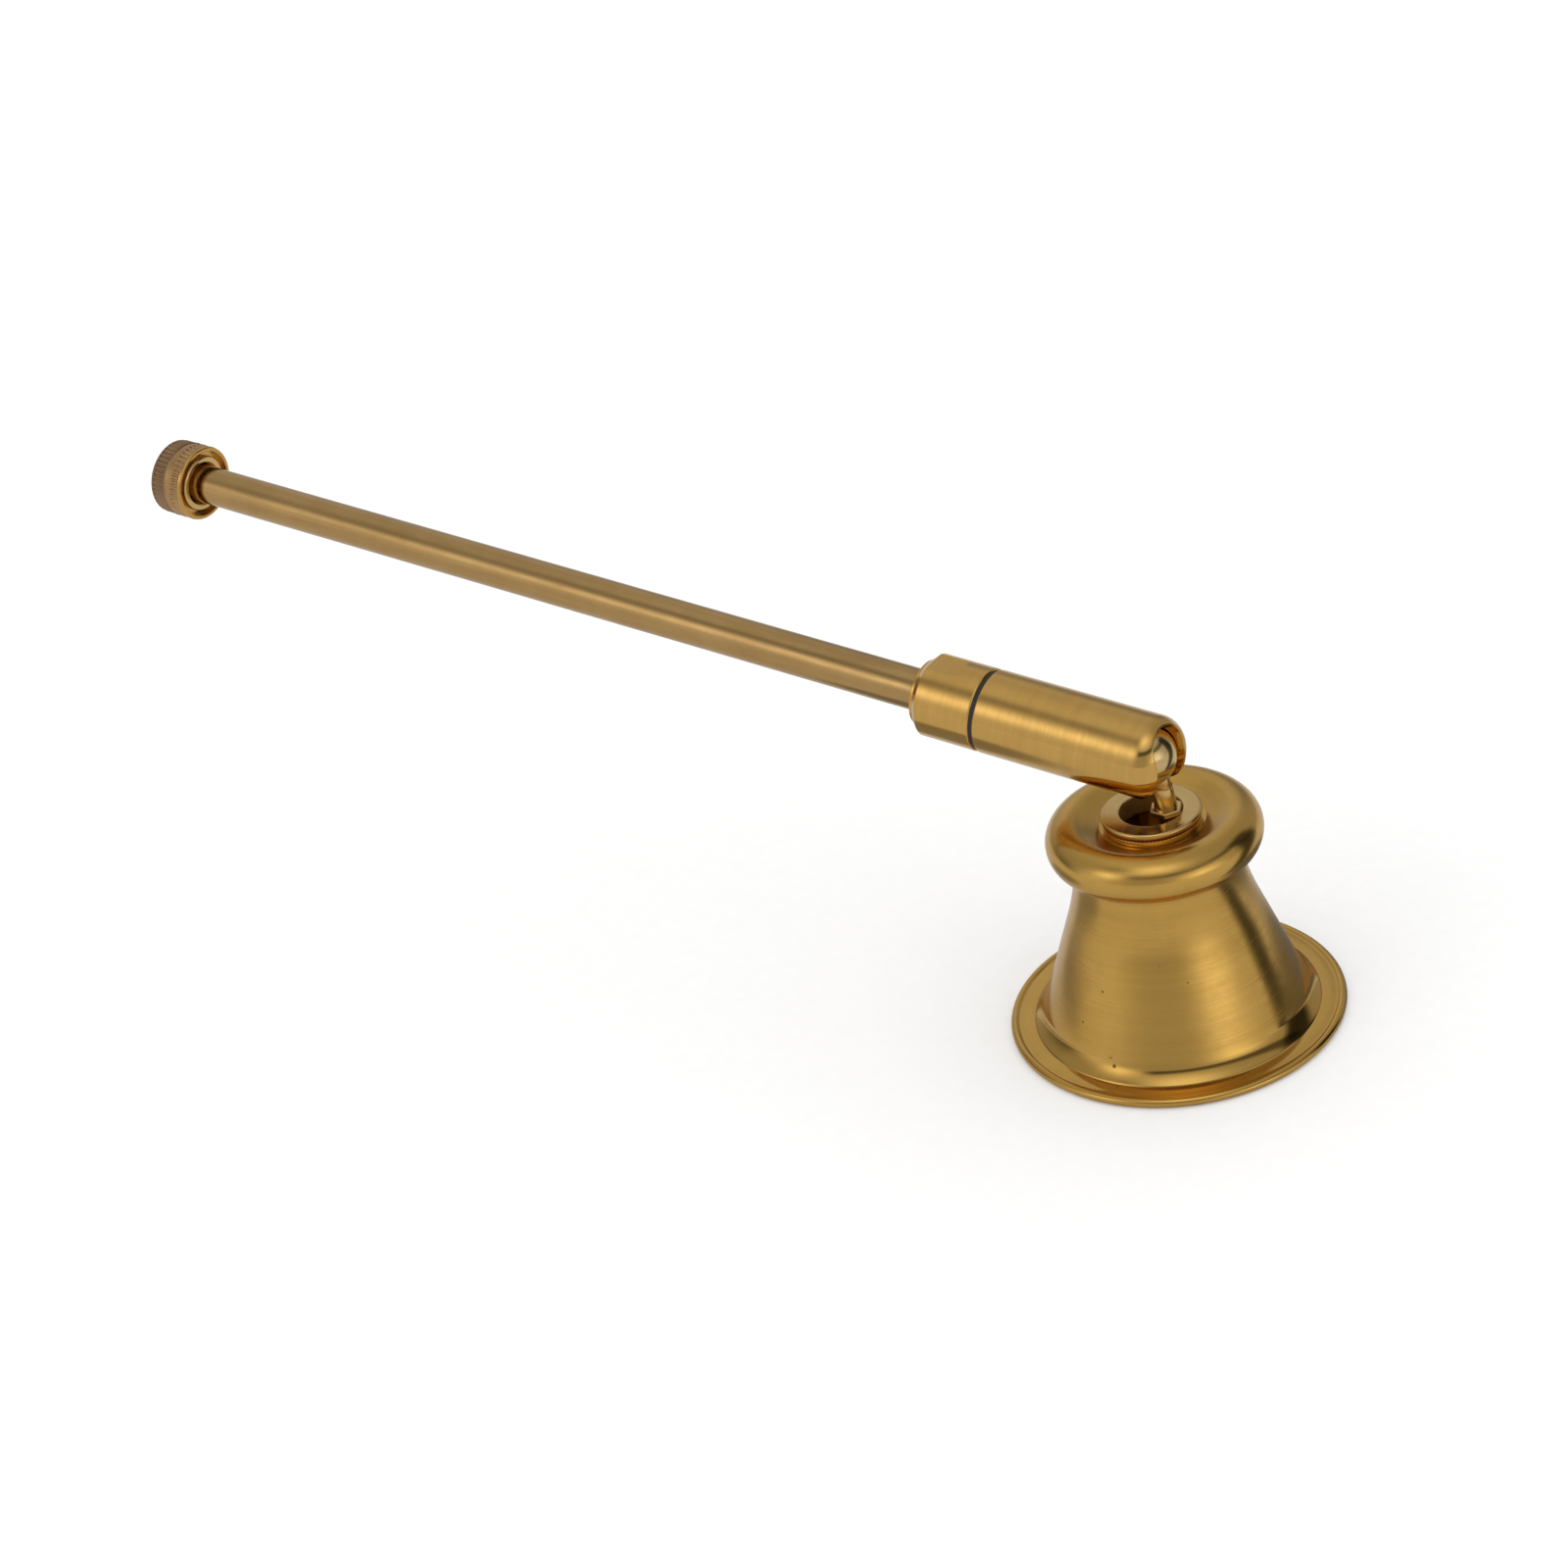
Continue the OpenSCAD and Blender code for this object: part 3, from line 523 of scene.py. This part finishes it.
front = net("barrel_front", barrel_field, NET_LOW, NET_HIGH, CELL, ON_HANDLE)
fit(front, "handle", barrel_brass, "barrel_brass", "barrel")
# The tube overlaps the front and stands barely proud of it, so that no seam shows.
tail = lathe("barrel_tube", rounded([
    (SOCKET_R - TUBE_PROUD, TUBE_START, 0), (BARREL_R + TUBE_PROUD, TUBE_START, 0),
    (BARREL_R + TUBE_PROUD, BARREL_END, 0.2), (THREAD_R, BARREL_END, 0.1), (THREAD_R, THREAD_START, 0.05),
    (SOCKET_R - TUBE_PROUD, THREAD_START, 0.05),
]), ON_HANDLE, 256)
fit(tail, "handle", barrel_brass, "barrel_brass")


# ---------- sleeve and rod ----------

def with_flats(r, z, angles):
    """Cuts the two wrench flats."""
    if z < FLAT_START + 0.001 or r < FLAT_X:
        return np.full(len(angles), r)
    return np.minimum(r, FLAT_X / np.maximum(np.abs(np.cos(angles)), 1e-3))


sleeve_outline = rounded([
    (ROD_BORE, NOSE_START, 0.1), (NOSE_R, NOSE_START, 0.15), (NOSE_R, SLEEVE_START, 0.05),
    (BARREL_R, SLEEVE_START, 0.2), (BARREL_R, FLAT_START, 0)])
sleeve_outline += [(BARREL_R, FLAT_START + 0.002)]
sleeve_outline += [(BARREL_R, z) for z in np.linspace(FLAT_START + 0.1, CONE_START - 0.1, 8)]
sleeve_outline += rounded([
    (BARREL_R, CONE_START - 0.05, 0), (BARREL_R, CONE_START, 0.04), (BOSS_R + 0.2, BOSS_START - 0.01, 0.06),
    (BOSS_R, BOSS_START, 0.03), (BOSS_R, SLEEVE_END, 0.1), (ROD_SEAT_R, SLEEVE_END, 0.08),
    (ROD_SEAT_R, ROD_SEAT_START, 0.05), (ROD_BORE, ROD_SEAT_START, 0.05), (ROD_BORE, 24, 0)])
sleeve = lathe("sleeve_turned", sleeve_outline, ON_HANDLE, 360, with_flats, 14)
fit(sleeve, "handle", barrel_brass, "barrel_brass", "sleeve")

rod = lathe("handle_rod_drawn", rounded([
    (ROD_BORE, ROD_START, 0.08), (ROD_R, ROD_START, 0.08), (ROD_R, ROD_END, 0.08), (ROD_BORE, ROD_END, 0.08),
]), ON_HANDLE, 160)
fit(rod, "handle", rod_brass, "handle_brass", "handle_rod")


# ---------- knob ----------

def knurled(r, z, angles):
    """Cuts rounded ridges into the knob's two bands, fading out at their ends."""
    depth = 0.0
    if r > BAND_R - 0.1:
        for start, end in ((FRONT_START, FRONT_END), (REAR_START, REAR_END)):
            depth = max(depth, min(1.0, max(0.0, min(z - start, end - z) / 0.12)))
    wave = np.abs(((angles * RIDGES / (2 * math.pi)) % 1.0) * 2 - 1)
    ridge = np.clip((wave - 0.12) / 0.76, 0, 1)
    ridge = ridge * ridge * (3 - 2 * ridge)
    return r - depth * (0.04 + 0.22 * (1 - ridge))


knob_outline = rounded([
    (ROD_SEAT_R, KNOB_FLOOR, 0.05), (KNOB_MOUTH_R, KNOB_FLOOR, 0.1), (KNOB_MOUTH_R, KNOB_S, 0.14),
    (KNOB_R - 0.06, KNOB_S, 0.2), (KNOB_R - 0.03, FRONT_START - 0.05, 0)])
knob_outline += [(KNOB_R, z) for z in np.linspace(FRONT_START - 0.02, FRONT_END, 20)]
knob_outline += rounded([(KNOB_R, FRONT_END + 0.02, 0), (BAND_R, FRONT_END + 0.12, 0.05),
                         (BAND_R, REAR_START - 0.1, 0.05), (KNOB_R, REAR_START - 0.01, 0)])
knob_outline += [(KNOB_R, z) for z in np.linspace(REAR_START + 0.01, KNOB_REAR - REAR_ROUND, 20)]
knob_outline += [(KNOB_R - REAR_ROUND * (1 - math.sqrt(1 - t * t)), KNOB_REAR - REAR_ROUND * (1 - t))
                 for t in np.linspace(0.1, 0.98, 14)]
knob_outline += [(4.0, KNOB_REAR), (0, KNOB_REAR), (0, KNOB_BACK), (ROD_SEAT_R, KNOB_BACK)]
knob = lathe("end_knob_knurled", knob_outline, ON_HANDLE, RIDGES * 12, knurled, 40)
fit(knob, "handle", knob_brass, "knob_brass", "end_knob")
knob.data.materials.append(knob_dark)
knob.data.materials.append(rim_brass)
for face in knob.data.polygons:
    at = face.center / MM
    if at.z > REAR_START - 0.05:
        face.material_index = 1
    elif at.z < FRONT_START - 0.07 or (math.hypot(at.x, at.y) < KNOB_MOUTH_R + 0.1 and at.z < KNOB_FLOOR + 0.1):
        face.material_index = 2
collar = lathe("knob_collar_turned", rounded([
    (COLLAR_BORE, COLLAR_FACE + 0.52, 0.1), (COLLAR_FUNNEL_R, COLLAR_FACE, 0.35), (COLLAR_R, COLLAR_FACE, 0.38),
    (COLLAR_R, KNOB_FLOOR, 0.05), (COLLAR_BORE, KNOB_FLOOR, 0.05),
]), ON_HANDLE, 192)
fit(collar, "handle", bright_brass, "polished_brass", "knob_collar")


# ---------- spring and inner pieces ----------

def coil(name, place, start, pitch, turns, mean_r, wire_r, rings=40, sides=12):
    """A round wire wound about local Z, with flat ends."""
    points, faces = [], []
    count = int(rings * turns)
    lean = math.atan2(pitch, 2 * math.pi * mean_r)
    for i in range(count + 1):
        a = i * 2 * math.pi / rings
        out = np.array([math.cos(a), math.sin(a), 0])
        up = np.array([math.sin(a) * math.sin(lean), -math.cos(a) * math.sin(lean), math.cos(lean)])
        middle = out * mean_r + np.array([0, 0, start + pitch * i / rings])
        for k in range(sides):
            b = k * 2 * math.pi / sides
            points.append(middle + wire_r * (math.cos(b) * out + math.sin(b) * up))
    for i in range(count):
        for k in range(sides):
            j = (k + 1) % sides
            faces.append((i * sides + k, i * sides + j, (i + 1) * sides + j, (i + 1) * sides + k))
    faces.append(tuple(range(sides)))
    faces.append(tuple(count * sides + k for k in reversed(range(sides))))
    return make(name, points, faces, place, 40)


spring = coil("spring_wound", ON_HANDLE, SPRING_START, (SPRING_END - SPRING_START) / SPRING_TURNS, SPRING_TURNS,
              SPRING_R, WIRE_R)
fit(spring, "handle", steel, "spring_steel", "follower_spring")

INNER = {
    "inner_washer": (inner_brass, "bell_brass"), "cap_nut": (inner_brass, "bell_brass"),
    "foot_disc": (inner_brass, "bell_brass"), "tail_nut": (inner_brass, "bell_brass"),
    "ball_follower": (steel, "plain_steel"), "seam_ring": (black, "dark_fibre"),
    "rod_stud": (steel, "plain_steel"), "knob_stud": (steel, "plain_steel"),
}
for name, (material, slot) in INNER.items():
    nodes[name].data.materials.clear()
    nodes[name].data.materials.append(material)


# ---------- floor ----------

FLOOR_HALF, FLOOR_Z = 4, -0.00002
floor_mesh = bpy.data.meshes.new("floor")
floor_mesh.from_pydata([(x * FLOOR_HALF, y * FLOOR_HALF, FLOOR_Z) for x, y in ((-1, -1), (1, -1), (1, 1), (-1, 1))],
                       [], [(0, 1, 2, 3)])
floor = bpy.data.objects.new("floor", floor_mesh)
bpy.context.scene.collection.objects.link(floor)
g = Graph(bpy.data.materials.new("floor_pale"))
path = g.node("LightPath")
place = g.place()
pale = g.mix(g.span(g.noise(g.millimetres(), 0.5, 3.0), 0.3, 0.7), (0.86, 0.86, 0.86), (0.88, 0.88, 0.88))
# Only mirrors show the floor's painted shade: a dark wedge of painted shade behind the bell, then two round patches of
# painted shadow, behind and beside it, each as (centre, inner and outer radius, brightness), in metres.
PAINTED_SHADE_PLACES = (((0.022, 0.025, 0), 0.012, 0.028, 0.27), ((-0.052, -0.016, 0), 0.014, 0.026, 0.45))
# A wedge of painted shade on the floor behind the bell, seen only in mirrors.
behind = g.toward(g.vector("NORMALIZE", g.vector("SUBTRACT", place, (0.029, 0, 0))), 139, 0)
painted_shade = g.span(behind, math.cos(math.radians(22)), math.cos(math.radians(6)), 0.72, 0.06, smooth=True)
# Round patches of painted shadow on the floor near the bell.
for centre, inner, outer, brightness in PAINTED_SHADE_PLACES:
    painted_shade = g.times(painted_shade, g.span(g.vector("DISTANCE", place, centre), inner, outer, brightness, 1.0, smooth=True))
# What mirrors see: the pale floor darkened by painted shade.
pale_with_painted_shade = g.vector("MULTIPLY", pale, painted_shade)
diffuse = g.node("BsdfDiffuse", {"Color": g.mix(path.outputs["Is Glossy Ray"], pale, pale_with_painted_shade)})
# The camera sees the far floor as white as the world behind it.
far = g.span(g.vector("LENGTH", place), 0.15, 0.6, 0.09, 0.3, smooth=True)
glow = g.node("Emission", {"Color": (1, 1, 1, 1), "Strength": g.times(path.outputs["Is Camera Ray"], far)})
floor_mesh.materials.append(g.output(g.node("AddShader", {0: diffuse.outputs[0], 1: glow.outputs[0]})))


# ---------- light ----------

world = bpy.data.worlds.new("studio")
bpy.context.scene.world = world
g = Graph(world)
direction = g.vector("NORMALIZE", g.node("TexCoord").outputs["Generated"])
path = g.node("LightPath")


def lobe(azimuth, elevation, sharpness, strength):
    """Light that is strongest from one direction."""
    facing = g.math("MAXIMUM", g.toward(direction, azimuth, elevation), 0.0)
    return g.times(g.math("POWER", facing, sharpness), strength)


# What the brass mirrors: large soft lamps and the dark gaps between them, each as
# (azimuth, elevation, sharpness, strength).
LAMPS = ((-27, 32, 35, 0.95), (-42, -2, 9, 0.36), (74, 3, 13, 0.95), (25, 67, 16, 0.85), (-110, 70, 10, 0.22),
         (-141, 28, 12, 0.22))
GAPS = ((-88, -6, 25, 0.4), (-74, 3, 24, 0.58), (-36, 60, 60, 0.45), (-164, 15, 40, 0.5))
studio = g.span(g.toward(direction, 38.9, -18), -0.25, 0.05, 0.40, 0.45, smooth=True)
for lamp in LAMPS:
    studio = g.plus(studio, lobe(*lamp))
east, north, height = g.node("SeparateXYZ", {0: direction}).outputs
level_way = g.vector("NORMALIZE", g.xyz(east, north))
# An upright dark gap behind the bell and a level one above the right lamp.
upright = g.times(g.span(g.toward(level_way, 137, 0), 0.945, 0.992, 0.0, 0.92, smooth=True),
                  g.span(height, 0.55, 0.75, 1.0, 0.0, smooth=True))
off_band = g.math("ABSOLUTE", g.math("SUBTRACT", height, 0.56))
between = g.times(g.span(off_band, 0.05, 0.13, 0.75, 0.0, smooth=True),
                  g.span(g.toward(level_way, 68, 0), 0.22, 0.45, 0.0, 1.0, smooth=True))
for dark_part in [upright, between] + [lobe(*gap) for gap in GAPS]:
    studio = g.times(studio, g.rest(dark_part))
mirror_ray = path.outputs["Is Glossy Ray"]
level = g.plus(g.times(studio, mirror_ray), g.rest(mirror_ray))
g.output(g.node("Background", {"Color": (1, 1, 1, 1), "Strength": level}), "OutputWorld")


def softbox(name, azimuth, elevation, wide, tall, level, distance=0.9, aim=(-0.03, 0, 0.02)):
    """A rectangular lamp whose surface shines at level, 1 being white."""
    light = bpy.data.lights.new(name, "AREA")
    light.shape = "RECTANGLE"
    light.size, light.size_y = wide, tall
    light.energy = level * math.pi * wide * tall
    obj = bpy.data.objects.new(name, light)
    bpy.context.scene.collection.objects.link(obj)
    out = toward(azimuth, elevation)
    obj.location = Vector(aim) + out * distance
    obj.rotation_mode = "QUATERNION"
    obj.rotation_quaternion = out.to_track_quat("Z", "Y")
    obj.visible_glossy = False


softbox("key_left", -28, 33, 0.5, 0.42, 0.9)
softbox("fill_right", 80, 28, 0.6, 0.42, 0.6)
softbox("top_back", 200, 62, 0.6, 0.4, 0.5)


# ---------- camera ----------

# Where the photograph was taken from, in metres and radians, and its focal length in pixels of a 1600-pixel frame.
CAMERA_AT = Vector((0.1706895, -0.276364, 0.2236491))
CAMERA_AZ, CAMERA_EL, CAMERA_ROLL = 0.67926, 0.5157, -0.19993
SENSOR, FOCAL_PIXELS, FRAME_PIXELS = 36, 3338.86, 1600
camera_data = bpy.data.cameras.new("camera")
camera_data.sensor_width = SENSOR
camera_data.lens = SENSOR * FOCAL_PIXELS / FRAME_PIXELS
camera_data.clip_start, camera_data.clip_end = 0.01, 20
camera = bpy.data.objects.new("camera", camera_data)
bpy.context.scene.collection.objects.link(camera)
back = toward(math.degrees(CAMERA_AZ), math.degrees(CAMERA_EL))
right = (-back).cross(Vector((0, 0, 1))).normalized()
down = (-back).cross(right)
c, s = math.cos(CAMERA_ROLL), math.sin(CAMERA_ROLL)
right, down = right * c - down * s, right * s + down * c
camera.matrix_world = Matrix((
    (right.x, -down.x, back.x, CAMERA_AT.x),
    (right.y, -down.y, back.y, CAMERA_AT.y),
    (right.z, -down.z, back.z, CAMERA_AT.z),
    (0, 0, 0, 1)))
bpy.context.scene.camera = camera
bpy.context.scene.view_settings.view_transform = "Standard"
